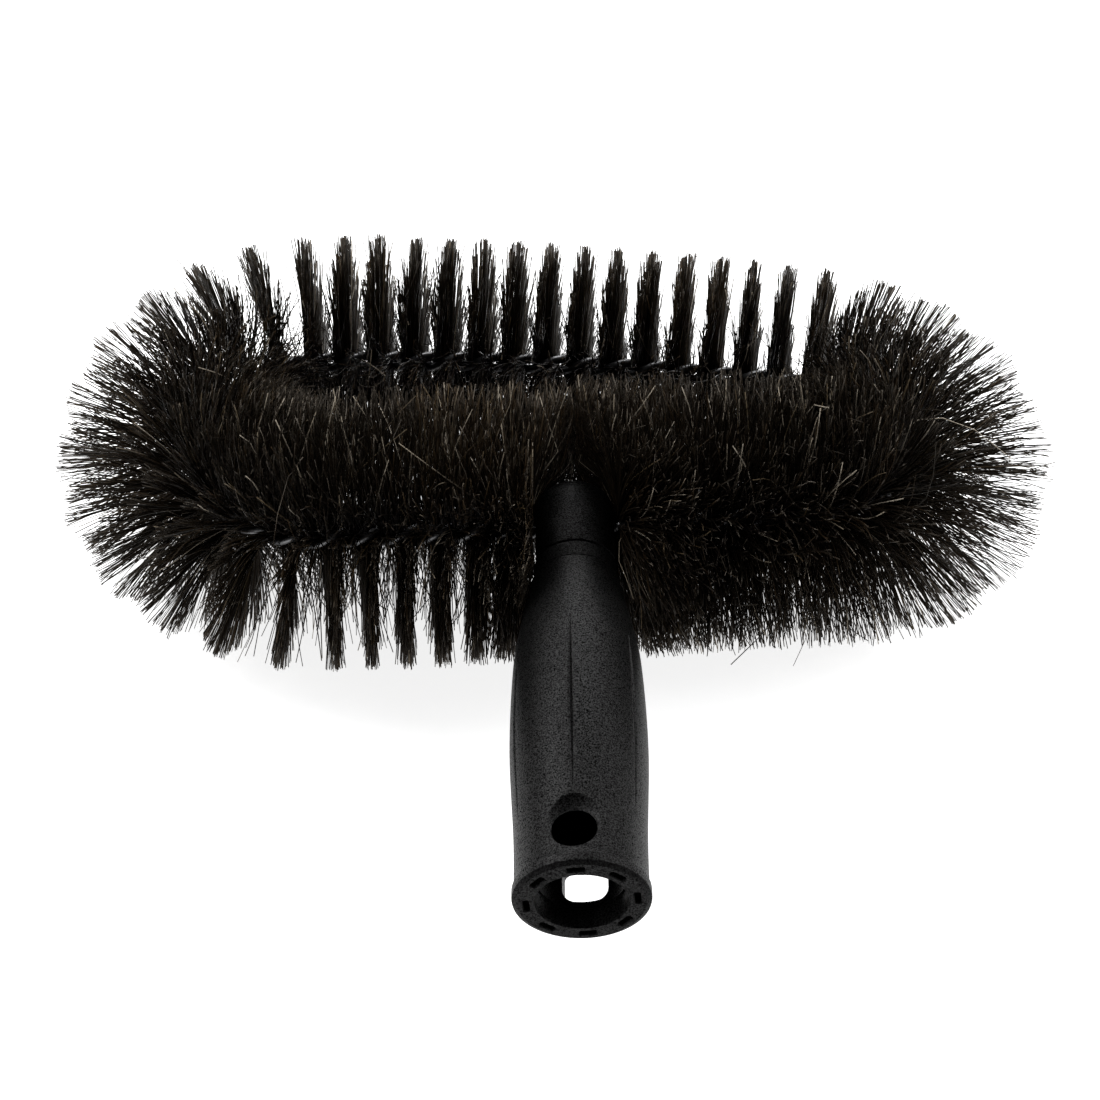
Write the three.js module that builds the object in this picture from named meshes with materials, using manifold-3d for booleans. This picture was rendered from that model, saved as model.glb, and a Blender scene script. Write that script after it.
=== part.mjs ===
// Oval brush head for a pole: a twisted-wire brush bent into an egg-shaped loop, with both ends of
// its stem held in a moulded pole socket. Millimetres.
//
// The loop lies flat in the XY plane and +Z is its normal. The socket's axis is Y, and its mouth
// faces -Y. The origin is the centre of the pole seat, the flat end of the socket's bore.

import * as THREE from 'three';
import { mergeVertices } from 'three/addons/utils/BufferGeometryUtils.js';
import Module from 'manifold-3d';

const wasm = await Module();
wasm.setup();

// ---- Driving dimensions ----

// Places along the socket are distances from its mouth, the plane of its lip.
const POLE_DEPTH = 58;
const fromMouth = (distance) => distance - POLE_DEPTH;

const SOCKET_TOP = 115.4;
const SEAT_WEB = 3.5;
const CHAMBER_RADIUS = 11.2;
const LIP_RADIUS = 19;
const LIP_LENGTH = 2.6;
const EDGE_CHAMFER = 0.4;
const BARREL_STATIONS = [[4.5, 18.4], [20, 18.6], [50, 19.9], [80, 19.1], [97, 16.9], [114.8, 13.5]];

// The bore tapers to the seat and steps down near its mouth. The end ring stands proud of the lip.
const SEAT_RADIUS = 11.6;
const BORE_RADIUS = 11.9;
const STEP_DEPTH = 5.6;
const STEP_RADIUS = 12.4;
const MOUTH_RADIUS = 12.8;
const MOUTH_CHAMFER = 1.2;
const RING_PROUD = 0.8;
const RING_OUTER_RADIUS = 17.5;

// The socket's hole, flutes and end pockets are turned a little about its axis from the loop's normal.
const SOCKET_TURN = THREE.MathUtils.degToRad(-7.5);
const FRONT_HOLE = { radius: 6.2, fromMouth: 11.5 };
const FRONT_RELIEF = { radius: 8.5, fromMouth: 14.5, fromAxis: 16.2 };
const FRONT_DISH = { across: 10.2, along: 9.5, deep: 3.2, fromMouth: 13.2, fromAxis: 19.9 };
const REAR_HOLE = { halfWidth: 6.4, halfLength: 6.7, cornerRadius: 3, fromMouth: 13.9 };
const POCKET_COUNT = 8;
const POCKET_RING_RADIUS = 15.1;
const POCKET_WIDTH = 5;
const POCKET_THICKNESS = 1.8;
const POCKET_DEPTH = 2.6;
const FLUTE_COUNT = 6;
const FLUTE_MIDDLE = 54;
const FLUTE_RING_RADIUS = 19.4;
const FLUTE_HALF_SIZE = { across: 1.5, along: 33, deep: 0.9 };

const FIT_GAP = 0.3;

// The stem is two wire strands twisted left-handed around each other, with the hair between them.
const STRAND_RADIUS = 1.5;
const STRAND_OFFSET = 1.85;
const TWIST_PITCH = 22.7;
const TWIST_START = THREE.MathUtils.degToRad(59);
const STEM_RADIUS = STRAND_OFFSET + STRAND_RADIUS;

// The loop, seen along -Z: two end arcs, a bowed far side and a straight near side with the socket.
const LOOP_MIDDLE = fromMouth(176.5);
const LEFT_END = { x: -83, radius: 42 };
const RIGHT_END = { x: 77, radius: 31 };
const FAR_SIDE_RADIUS = 750;
const TAIL_OFFSET = 4.4;
const TAIL_BEND_RADIUS = 7;
const TAIL_END = fromMouth(85);

// Hair: one tuft for each half turn of the stem.
const TUFT_COUNT = 45;
const TUFT_SPACING = TWIST_PITCH / 2;
const TUFT_RADIUS = 41;
const TUFT_ROOT_RADIUS = 4.2;
const TUFT_ROOT_THICKNESS = 3.4;
const TUFT_TIP_THICKNESS = 7.2;
const TUFT_SIDES = 16;
const INNER_REACH_SHARE = 0.9;

// The core fills the top of the socket and carries the cap, and both stem tails pass through it.
const CORE_BOTTOM = 97;
const CORE_TOP = 133;
const NECK_RADIUS = 12.8;
const CORE_BOSS_RADIUS = 9.9;
const CHANNEL_RADIUS = 4.1;
const CAP_BOTTOM = 122;
const CAP_DOME_START = 143.5;
const CAP_TOP = 153.5;
const CAP_RADIUS = 13.25;
const CAP_CAVITY_TOP = 134;
const CAP_PORT_CENTRE = 140.9;
const FERRULE_BOTTOM = 86;
const FERRULE_LENGTH = 9;
const FERRULE_WALL = 1.2;

const DOME_FULLNESS = 0.8;

// How far a cutter runs past the faces that it cuts through.
const OVERCUT = 1;

// ---- Mesh fineness ----

const SOCKET_SEGMENTS = 32;
const CORE_SEGMENTS = 28;
const HOLE_SEGMENTS = 16;
const DISH_SEGMENTS = { around: 16, down: 10 };
const FLUTE_SEGMENTS = { around: 6, down: 10 };
const BARREL_SEGMENTS = 11;
const DOME_SEGMENTS = 6;
const ARC_SEGMENTS = 5;
const STRAND_ARC_SEGMENTS = 3;
const STRAND_STEPS_PER_TURN = 6;
const STRAND_ARC_LENGTH_DIVISIONS = 4000;

// ---- Materials ----

const plastic = (name) => new THREE.MeshStandardMaterial({ name, color: 0x1b1c1e, roughness: 0.55 });
const steel = (name) =>
  new THREE.MeshStandardMaterial({ name, color: 0x4a4b4e, roughness: 0.3, metalness: 1 });
const hair = (name) => new THREE.MeshStandardMaterial({ name, color: 0x2a211b, roughness: 0.6 });

// ---- Booleans ----

function toManifold(geometry) {
  const bare = geometry.clone();
  bare.deleteAttribute('normal');
  bare.deleteAttribute('uv');
  const merged = mergeVertices(bare, 1e-4);
  return new wasm.Manifold(new wasm.Mesh({
    numProp: 3,
    vertProperties: new Float32Array(merged.attributes.position.array),
    triVerts: new Uint32Array(merged.index.array),
  }));
}

function fromManifold(solid) {
  const mesh = solid.getMesh();
  const geometry = new THREE.BufferGeometry();
  geometry.setAttribute('position', new THREE.BufferAttribute(new Float32Array(mesh.vertProperties), 3));
  geometry.setIndex(new THREE.BufferAttribute(new Uint32Array(mesh.triVerts), 1));
  geometry.computeVertexNormals();
  return geometry;
}

function cutAll(geometry, cutters) {
  let solid = toManifold(geometry);
  for (const cutter of cutters) {
    solid = solid.subtract(toManifold(cutter));
  }
  return fromManifold(solid);
}

// ---- Shared shapes ----

// A profile is a list of [distance from the mouth, radius], turned about the socket's axis.
function turned(profile, segments) {
  const points = profile.map(([distance, radius]) => new THREE.Vector2(radius, fromMouth(distance)));
  return new THREE.LatheGeometry(points, segments);
}

// Two half circles joined by straight sides, wide along X, drawn on the shape or hole given.
function slotOutline(outline, halfSpacing, radius) {
  outline.absarc(halfSpacing, 0, radius, -Math.PI / 2, Math.PI / 2, false);
  outline.absarc(-halfSpacing, 0, radius, Math.PI / 2, Math.PI * 1.5, false);
  outline.closePath();
  return outline;
}

function extruded(shape, depth) {
  return new THREE.ExtrudeGeometry(shape, { depth, bevelEnabled: false, curveSegments: ARC_SEGMENTS });
}

// Extrudes a shape drawn in X and Z along +Y, from one distance from the mouth to another.
function extrudedAlongSocket(shape, start, end) {
  const geometry = extruded(shape, end - start);
  geometry.rotateX(-Math.PI / 2);
  geometry.translate(0, fromMouth(start), 0);
  return geometry;
}

// ---- The stem's path ----

// The near side touches both end arcs, so it slopes by the angle that their radii differ by.
const nearSlope = Math.asin((LEFT_END.radius - RIGHT_END.radius) / (RIGHT_END.x - LEFT_END.x));
const nearNormal = new THREE.Vector2(-Math.sin(nearSlope), Math.cos(nearSlope));

function tailBendCentreY(x) {
  const nearSide = nearNormal.x * LEFT_END.x + nearNormal.y * LOOP_MIDDLE - LEFT_END.radius;
  return (nearSide - TAIL_BEND_RADIUS - nearNormal.x * x) / nearNormal.y;
}

// The centre of the far side's arc, which touches both end arcs from outside.
function farArcCentre() {
  const toLeft = FAR_SIDE_RADIUS - LEFT_END.radius;
  const toRight = FAR_SIDE_RADIUS - RIGHT_END.radius;
  const span = RIGHT_END.x - LEFT_END.x;
  const x = LEFT_END.x + (toLeft ** 2 - toRight ** 2 + span ** 2) / (2 * span);
  return new THREE.Vector2(x, LOOP_MIDDLE - Math.sqrt(toLeft ** 2 - (x - LEFT_END.x) ** 2));
}

function stemPath() {
  const far = farArcCentre();
  const farStart = Math.atan2(LOOP_MIDDLE - far.y, LEFT_END.x - far.x);
  const farEnd = Math.atan2(LOOP_MIDDLE - far.y, RIGHT_END.x - far.x);
  const nearAngle = nearSlope - Math.PI / 2;
  const bendEnd = nearSlope + Math.PI / 2;
  const leftBendX = -TAIL_OFFSET - TAIL_BEND_RADIUS;
  const rightBendX = TAIL_OFFSET + TAIL_BEND_RADIUS;
  const path = new THREE.Path();
  path.moveTo(-TAIL_OFFSET, TAIL_END);
  path.lineTo(-TAIL_OFFSET, tailBendCentreY(leftBendX));
  path.absarc(leftBendX, tailBendCentreY(leftBendX), TAIL_BEND_RADIUS, 0, bendEnd, false);
  path.absarc(LEFT_END.x, LOOP_MIDDLE, LEFT_END.radius, nearAngle, farStart, true);
  path.absarc(far.x, far.y, FAR_SIDE_RADIUS, farStart, farEnd, true);
  path.absarc(RIGHT_END.x, LOOP_MIDDLE, RIGHT_END.radius, farEnd, nearAngle, true);
  path.absarc(rightBendX, tailBendCentreY(rightBendX), TAIL_BEND_RADIUS, bendEnd, Math.PI, false);
  path.lineTo(TAIL_OFFSET, TAIL_END);
  return path;
}

const stem = stemPath();
const stemLength = stem.getLength();

// The stem's centre at a distance along it, and the normal that points into the loop.
function stemAt(distance) {
  const share = THREE.MathUtils.clamp(distance / stemLength, 0, 1);
  const centre = stem.getPoint(share);
  const tangent = stem.getTangent(share);
  return { centre, inward: new THREE.Vector2(tangent.y, -tangent.x) };
}

const hairAngle = (distance) => TWIST_START + (2 * Math.PI * distance) / TWIST_PITCH;

class StrandCurve extends THREE.Curve {
  constructor(side) {
    super();
    this.side = side;
    this.arcLengthDivisions = STRAND_ARC_LENGTH_DIVISIONS;
  }

  getPoint(share, target = new THREE.Vector3()) {
    const distance = share * stemLength;
    const { centre, inward } = stemAt(distance);
    const angle = hairAngle(distance) + (this.side * Math.PI) / 2;
    const sideways = STRAND_OFFSET * Math.cos(angle);
    return target.set(
      centre.x + inward.x * sideways,
      centre.y + inward.y * sideways,
      STRAND_OFFSET * Math.sin(angle),
    );
  }
}

// ---- Sub-parts ----

function barrelProfile() {
  const stations = BARREL_STATIONS.map(([along, radius]) => new THREE.Vector2(along, radius));
  return new THREE.SplineCurve(stations).getPoints(BARREL_SEGMENTS).map((point) => [point.x, point.y]);
}

function socketBody() {
  const profile = [
    [POLE_DEPTH, 0],
    [POLE_DEPTH, SEAT_RADIUS],
    [STEP_DEPTH, BORE_RADIUS],
    [STEP_DEPTH, STEP_RADIUS],
    [MOUTH_CHAMFER - RING_PROUD, STEP_RADIUS],
    [-RING_PROUD, MOUTH_RADIUS],
    [-RING_PROUD, RING_OUTER_RADIUS],
    [0, LIP_RADIUS],
    [LIP_LENGTH, LIP_RADIUS],
    ...barrelProfile(),
    [SOCKET_TOP, BARREL_STATIONS.at(-1)[1] - EDGE_CHAMFER],
    [SOCKET_TOP, CHAMBER_RADIUS],
    [POLE_DEPTH + SEAT_WEB, CHAMBER_RADIUS],
    [POLE_DEPTH + SEAT_WEB, 0],
  ];
  return cutAll(turned(profile, SOCKET_SEGMENTS), [
    ...frontHoleCutters(),
    rearHoleCutter(),
    ...pocketCutters(),
    ...fluteCutters(),
  ]);
}

// A round cutter from the socket's axis out through its +Z side.
function radialCylinder(radius, reach, distance) {
  const cylinder = new THREE.CylinderGeometry(radius, radius, reach, HOLE_SEGMENTS);
  cylinder.rotateX(Math.PI / 2);
  cylinder.translate(0, fromMouth(distance), reach / 2);
  return cylinder;
}

// The front hole is round and opens in a long shallow dish, with a wider relief behind its wall.
function frontHoleCutters() {
  const hole = radialCylinder(FRONT_HOLE.radius, LIP_RADIUS + OVERCUT, FRONT_HOLE.fromMouth);
  const relief = radialCylinder(FRONT_RELIEF.radius, FRONT_RELIEF.fromAxis, FRONT_RELIEF.fromMouth);
  const dish = new THREE.SphereGeometry(1, DISH_SEGMENTS.around, DISH_SEGMENTS.down);
  dish.scale(FRONT_DISH.across, FRONT_DISH.along, FRONT_DISH.deep);
  dish.translate(0, fromMouth(FRONT_DISH.fromMouth), FRONT_DISH.fromAxis);
  return [hole, relief, dish].map((cutter) => cutter.rotateY(SOCKET_TURN));
}

// The rear hole is a rounded rectangle, a little longer along the socket than across it.
function rearHoleCutter() {
  const { halfWidth, halfLength, cornerRadius } = REAR_HOLE;
  const outline = new THREE.Shape();
  const corners = [[1, 1], [-1, 1], [-1, -1], [1, -1]];
  corners.forEach(([sideX, sideY], quarter) => {
    const x = sideX * (halfWidth - cornerRadius);
    const y = sideY * (halfLength - cornerRadius);
    const start = (quarter * Math.PI) / 2;
    outline.absarc(x, y, cornerRadius, start, start + Math.PI / 2, false);
  });
  outline.closePath();
  const cutter = extruded(outline, LIP_RADIUS + OVERCUT);
  cutter.translate(0, fromMouth(REAR_HOLE.fromMouth), 0);
  return cutter.rotateY(SOCKET_TURN + Math.PI);
}

function aroundSocket(count, makeCutter) {
  return Array.from({ length: count }, (_, index) => {
    const cutter = makeCutter();
    cutter.rotateY(SOCKET_TURN + (index * 2 * Math.PI) / count);
    return cutter;
  });
}

function pocketCutters() {
  return aroundSocket(POCKET_COUNT, () => {
    const pocket = new THREE.BoxGeometry(POCKET_WIDTH, 2 * POCKET_DEPTH, POCKET_THICKNESS);
    pocket.translate(0, fromMouth(-RING_PROUD), POCKET_RING_RADIUS);
    return pocket;
  });
}

function fluteCutters() {
  return aroundSocket(FLUTE_COUNT, () => {
    const flute = new THREE.SphereGeometry(1, FLUTE_SEGMENTS.around, FLUTE_SEGMENTS.down);
    flute.scale(FLUTE_HALF_SIZE.across, FLUTE_HALF_SIZE.along, FLUTE_HALF_SIZE.deep);
    flute.translate(0, fromMouth(FLUTE_MIDDLE), FLUTE_RING_RADIUS);
    return flute;
  });
}

function wireCore() {
  const profile = [
    [CORE_BOTTOM, 0],
    [CORE_BOTTOM, CHAMBER_RADIUS - FIT_GAP],
    [SOCKET_TOP + FIT_GAP, CHAMBER_RADIUS - FIT_GAP],
    [SOCKET_TOP + FIT_GAP, NECK_RADIUS],
    [CAP_BOTTOM - FIT_GAP, NECK_RADIUS],
    [CAP_BOTTOM - FIT_GAP, CORE_BOSS_RADIUS],
    [CORE_TOP, CORE_BOSS_RADIUS],
    [CORE_TOP, 0],
  ];
  const channel = slotOutline(new THREE.Shape(), TAIL_OFFSET, CHANNEL_RADIUS);
  const channelCutter = extrudedAlongSocket(channel, CORE_BOTTOM - OVERCUT, CORE_TOP + OVERCUT);
  return cutAll(turned(profile, CORE_SEGMENTS), [channelCutter]);
}

function domeProfile() {
  const height = CAP_TOP - CAP_DOME_START;
  const dome = Array.from({ length: DOME_SEGMENTS }, (_, index) => {
    const angle = (index / DOME_SEGMENTS) * (Math.PI / 2);
    return [CAP_DOME_START + height * Math.sin(angle), CAP_RADIUS * Math.cos(angle) ** DOME_FULLNESS];
  });
  return [...dome, [CAP_TOP, 0]];
}

// The cap slides over the stem, so its two side ports are open at the bottom.
function noseCap() {
  const profile = [
    [CAP_CAVITY_TOP, 0],
    [CAP_CAVITY_TOP, CORE_BOSS_RADIUS + FIT_GAP],
    [CAP_BOTTOM, CORE_BOSS_RADIUS + FIT_GAP],
    [CAP_BOTTOM, CAP_RADIUS - EDGE_CHAMFER],
    [CAP_BOTTOM + EDGE_CHAMFER, CAP_RADIUS],
    ...domeProfile(),
  ];
  const port = new THREE.Shape();
  port.moveTo(-CHANNEL_RADIUS, fromMouth(CAP_BOTTOM - OVERCUT));
  port.lineTo(CHANNEL_RADIUS, fromMouth(CAP_BOTTOM - OVERCUT));
  port.absarc(0, fromMouth(CAP_PORT_CENTRE), CHANNEL_RADIUS, 0, Math.PI, false);
  port.closePath();
  const across = extruded(port, 2 * (CAP_RADIUS + OVERCUT));
  across.translate(0, 0, -CAP_RADIUS - OVERCUT);
  across.rotateY(Math.PI / 2);
  return cutAll(turned(profile, CORE_SEGMENTS), [across]);
}

function crimpFerrule() {
  const innerRadius = STEM_RADIUS + FIT_GAP;
  const band = slotOutline(new THREE.Shape(), TAIL_OFFSET, innerRadius + FERRULE_WALL);
  band.holes.push(slotOutline(new THREE.Path(), TAIL_OFFSET, innerRadius));
  return extrudedAlongSocket(band, FERRULE_BOTTOM, FERRULE_BOTTOM + FERRULE_LENGTH);
}

function wireStrand(side) {
  const section = new THREE.Shape();
  section.absarc(0, 0, STRAND_RADIUS, 0, 2 * Math.PI, false);
  return new THREE.ExtrudeGeometry(section, {
    steps: Math.round((STRAND_STEPS_PER_TURN * stemLength) / TWIST_PITCH),
    curveSegments: STRAND_ARC_SEGMENTS,
    extrudePath: new StrandCurve(side),
  });
}

// How far hair may reach into the loop before it meets the hair from the other side of the loop.
function inwardReach({ centre, inward }) {
  if (centre.x < LEFT_END.x) {
    return INNER_REACH_SHARE * LEFT_END.radius;
  }
  if (centre.x > RIGHT_END.x) {
    return INNER_REACH_SHARE * RIGHT_END.radius;
  }
  return (LOOP_MIDDLE - centre.y) / inward.y - FIT_GAP;
}

// A tuft is a washer, thicker at the hair's tips than at its roots, bent onto the stem's path.
function bristleTuft(index) {
  const middle = stemLength / 2 + (index - (TUFT_COUNT - 1) / 2) * TUFT_SPACING;
  const washer = new THREE.LatheGeometry([
    new THREE.Vector2(TUFT_ROOT_RADIUS, TUFT_ROOT_THICKNESS / 2),
    new THREE.Vector2(TUFT_ROOT_RADIUS, -TUFT_ROOT_THICKNESS / 2),
    new THREE.Vector2(TUFT_RADIUS, -TUFT_TIP_THICKNESS / 2),
    new THREE.Vector2(TUFT_RADIUS, TUFT_TIP_THICKNESS / 2),
    new THREE.Vector2(TUFT_ROOT_RADIUS, TUFT_ROOT_THICKNESS / 2),
  ], TUFT_SIDES);
  const points = washer.attributes.position;
  for (let i = 0; i < points.count; i += 1) {
    const place = stemAt(middle + points.getY(i));
    const sideways = Math.min(points.getX(i), inwardReach(place));
    points.setXYZ(
      i,
      place.centre.x + place.inward.x * sideways,
      place.centre.y + place.inward.y * sideways,
      points.getZ(i),
    );
  }
  return washer;
}

// ---- Assembly ----

const brush = new THREE.Group();

function addPart(name, geometry, material) {
  const mesh = new THREE.Mesh(geometry, material);
  mesh.name = name;
  brush.add(mesh);
}

addPart('socket_body', socketBody(), plastic('socket_plastic'));
addPart('wire_core', wireCore(), plastic('core_plastic'));
addPart('nose_cap', noseCap(), plastic('cap_plastic'));
addPart('crimp_ferrule', crimpFerrule(), steel('ferrule_steel'));
addPart('wire_strand_a', wireStrand(1), steel('strand_steel_a'));
addPart('wire_strand_b', wireStrand(-1), steel('strand_steel_b'));
for (let index = 0; index < TUFT_COUNT; index += 1) {
  const number = String(index + 1).padStart(2, '0');
  addPart(`bristle_tuft_${number}`, bristleTuft(index), hair(`hair_${number}`));
}

export default brush;
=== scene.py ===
import math

import bmesh
import bpy
import numpy as np
from mathutils import Matrix, Vector


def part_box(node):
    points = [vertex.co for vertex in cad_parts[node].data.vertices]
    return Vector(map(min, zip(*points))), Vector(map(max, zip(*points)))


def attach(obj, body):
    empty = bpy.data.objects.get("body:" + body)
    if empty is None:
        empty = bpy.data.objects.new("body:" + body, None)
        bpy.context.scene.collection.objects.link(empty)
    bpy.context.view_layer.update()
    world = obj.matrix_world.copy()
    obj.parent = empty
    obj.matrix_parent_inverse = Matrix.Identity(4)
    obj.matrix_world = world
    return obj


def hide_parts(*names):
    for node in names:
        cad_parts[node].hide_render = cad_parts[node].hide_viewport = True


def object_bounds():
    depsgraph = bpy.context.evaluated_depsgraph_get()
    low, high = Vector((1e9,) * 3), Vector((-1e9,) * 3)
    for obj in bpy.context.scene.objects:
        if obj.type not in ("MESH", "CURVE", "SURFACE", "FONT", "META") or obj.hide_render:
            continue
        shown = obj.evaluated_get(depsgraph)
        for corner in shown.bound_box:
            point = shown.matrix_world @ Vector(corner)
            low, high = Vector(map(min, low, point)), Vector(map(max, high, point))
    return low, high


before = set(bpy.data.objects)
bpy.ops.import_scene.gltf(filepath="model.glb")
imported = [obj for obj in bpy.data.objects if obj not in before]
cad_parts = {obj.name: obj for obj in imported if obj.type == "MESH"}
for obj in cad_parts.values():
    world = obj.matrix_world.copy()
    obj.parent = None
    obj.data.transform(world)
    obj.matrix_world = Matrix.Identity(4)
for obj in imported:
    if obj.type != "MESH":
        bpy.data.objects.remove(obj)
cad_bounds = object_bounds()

# Metres, in the row's frame: +X runs along the loop, +Z is the loop's normal, and the socket's
# axis is Y, with its mouth facing -Y. "Along" below is a distance from the plane of its lip.

UP = np.array([0.0, 0.0, 1.0])

# Keeps divisions away from zero, and is the least distance between two points of a line.
TINY = 1e-6

# ---- Places read from the frame ----

SOCKET_LOW, SOCKET_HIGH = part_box("socket_body")
CAP_LOW, CAP_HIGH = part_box("nose_cap")
CORE_LOW, CORE_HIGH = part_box("wire_core")
STRAND_LOW, STRAND_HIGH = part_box("wire_strand_a")
TUFT_NAMES = sorted(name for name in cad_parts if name.startswith("bristle_tuft_"))

RING_PROUD = 0.0008
MOUTH_Y = SOCKET_LOW.y + RING_PROUD
SOCKET_TOP = SOCKET_HIGH.y - MOUTH_Y
CAP_BOTTOM = CAP_LOW.y - MOUTH_Y
CAP_TOP = CAP_HIGH.y - MOUTH_Y
CAP_RADIUS = CAP_HIGH.x
CORE_BOTTOM = CORE_LOW.y - MOUTH_Y
CORE_TOP = CORE_HIGH.y - MOUTH_Y
HAIR_RADIUS = cad_bounds[1].z
FLOOR_Z = cad_bounds[0].z
POLE_DEPTH = -MOUTH_Y

# ---- Driving dimensions ----

# The stem: two wire strands twisted left-handed, and the oval loop that they follow.
STRAND_RADIUS = 0.0015
STRAND_OFFSET = 0.00185
STEM_RADIUS = STRAND_OFFSET + STRAND_RADIUS
TWIST_PITCH = 0.0227
TWIST_START = math.radians(59)
HALF_TURN = TWIST_PITCH / 2
LEFT_RADIUS = 0.042
RIGHT_RADIUS = 0.031
LEFT_X = STRAND_LOW.x + LEFT_RADIUS + STEM_RADIUS
RIGHT_X = STRAND_HIGH.x - RIGHT_RADIUS - STEM_RADIUS
LOOP_MIDDLE_Y = MOUTH_Y + 0.1765
FAR_SIDE_RADIUS = 0.75
TAIL_OFFSET = 0.0044
TAIL_BEND_RADIUS = 0.007
TAIL_END_Y = MOUTH_Y + 0.085
PATH_STEP = 0.0002
STRAND_STEP = 0.0007
STRAND_SIDES = 12
STRAND_SHARP_DEG = 40

# The socket.
SEAT_WEB = 0.0035
CHAMBER_RADIUS = 0.0112
SEAT_RADIUS = 0.0116
BORE_RADIUS = 0.0119
STEP_DEPTH = 0.0056
STEP_RADIUS = 0.0124
MOUTH_RADIUS = 0.0128
MOUTH_CHAMFER = 0.0012
RING_OUTER_RADIUS = 0.0175
LIP_RADIUS = 0.019
LIP_LENGTH = 0.0026
EDGE_EASE = 0.0004

# A face whose normal has less Y than this is an end face at the mouth.
MOUTH_FACING = -0.7

# The barrel's outside, as (along, radius), and how finely the curve through it is drawn.
BARREL_STATIONS = np.array([
    [0.0045, 0.0184], [0.020, 0.0186], [0.050, 0.0199],
    [0.080, 0.0191], [0.097, 0.0169], [0.1148, 0.0135],
])
STATION_STEPS = 24
SOCKET_COLUMNS = 120
SOCKET_SHARP_DEG = 24

# The lathe's columns are at least this angle apart.
CLOSEST_COLUMNS = 0.002

# The front hole, and all that is placed from it, is turned this far about the socket's axis.
SOCKET_TURN = math.radians(-7.5)
HOLE_SIDES = 72
FRONT_HOLE_RADIUS = 0.0062
FRONT_HOLE_ALONG = 0.0115
FRONT_HOLE_WALL = 0.0006
FRONT_RELIEF_RADIUS = 0.0085
FRONT_RELIEF_ALONG = 0.0145
FRONT_RELIEF_TOP = 0.0162
DISH_ALONG = 0.0132
DISH_HALF_WIDTH = 0.0073
DISH_HALF_LENGTH = 0.0086
DISH_DEPTH = 0.0026
DISH_FULLNESS = 2.5
DISH_COLUMNS = 57
DISH_COLUMNS_REACH = 1.2
DISH_ROWS_REACH = 1.1
DISH_ROW_STEP = 0.0003
REAR_HOLE_ALONG = 0.0139
REAR_HOLE_HALF_WIDTH = 0.0064
REAR_HOLE_HALF_LENGTH = 0.0067
REAR_HOLE_CORNER = 0.003
REAR_CORNER_POINTS = 9
POCKET_COUNT = 8
POCKET_RING_RADIUS = 0.0151
POCKET_HALF_WIDTH = 0.0025
POCKET_HALF_THICKNESS = 0.0009
POCKET_DEPTH = 0.0026
POCKET_CORNER = 0.0006
POCKET_CORNER_POINTS = 4
POCKET_EASE = 0.0003
POCKET_TAPER = 0.0001
FLUTE_COUNT = 6
FLUTE_MIDDLE = 0.054
FLUTE_HALF_LENGTH = 0.033
FLUTE_HALF_WIDTH = 0.0009
FLUTE_DEPTH = 0.0007
FLUTE_FADE = 0.8
FLUTE_SHARPNESS = 1.25
FLUTE_STEEP_SIDE = 1.7
FLUTE_GENTLE_SIDE = 0.8
FLUTE_COLUMNS = 25
FLUTE_COLUMNS_REACH = 0.0024

# Cutters run past the faces they cut.
CUTTER_END = 0.001
CUTTER_TOP = LIP_RADIUS + 2 * CUTTER_END

# The core and the cap.
CORE_COLUMNS = 96
CAP_COLUMNS = 112
PLUG_SHARP_DEG = 32
NECK_RADIUS = 0.0128
BOSS_RADIUS = 0.0099
CHANNEL_RADIUS = 0.0041
CHANNEL_ARC_POINTS = 17
CAP_CAVITY_TOP = 0.134
CAP_DOME_START = 0.1435
CAP_DOME_FULLNESS = 0.8
CAP_DOME_POINTS = 20
CAP_CROWN_HEIGHT = 0.003
CAP_CROWN_SHARE = 0.6
CAP_PORT_CENTRE = 0.1409
CAP_PORT_POINTS = 25
FIT_GAP = 0.0003

# Hair. HAIR_START is the distance along the stem from its end to the first hair, and HAIR_FOOT
# the distance from the stem's middle line at which a hair starts.
SEED = 11
HAIR_START = 0.0610
HAIR_FOOT = 0.0008
HAIRS_PER_TUFT = 640
HAIR_POINTS = 8
HAIR_SIDES = 3
HAIR_ROOT_RADIUS = 0.00021
HAIR_TIP_RADIUS = 0.00015
HAIR_THICKNESS = (0.7, 1.25)
HAIR_GAP = 0.0004
HAIR_FLOOR_GAP = 0.0003

# A hair's sides are set out from +X, not from +Z, where it runs more steeply than this.
STEEP = 0.8

# The stem carries more hair just outside the cap.
NEAR_CAP_SHARE = 0.07
NEAR_CAP_REACH = 0.009

# Strays stand further from their neighbours.
STRAY_SHARE = 0.03
STRAY_SPREAD = 3.5

# How much longer hair is towards each side of the loop, and how unevenly it is trimmed.
END_GROWTH = 0.0044
RIGHT_GROWTH = 0.0030
CORNER_GROWTH = 0.0050
FAR_GROWTH = 0.0017
FAR_SLOPE = 0.035
NEAR_GROWTH = 0.0020
INNER_GROWTH = 0.0075
TRIM_SPREAD = 0.0007
SHORT_SHARE = 0.2
SHORT_BY = (0.001, 0.007)

# Fans lean up the loop, and locks are narrow bundles in them.
FAN_LEAN = math.radians(46)
FAN_SHIFT = 0.0005
LOCK_WIDTH = math.radians(4.5)
LOCK_BLUR = 0.08
LOCK_SHIFT = 0.0008
LOCK_TURN = math.radians(1.7)
LOCK_TRIM = 0.0011
LOCK_GATHER = (0.60, 1.0)
LOCK_POWER = 1.3
ROOT_CLOSING = 0.24
ADDED_CLOSING = 0.14
ADDED_CLOSING_RADII = (0.003, 0.035)
TANGLE_RADII = (0.0006, 0.010)
WAVES = (4, 9)

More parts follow.
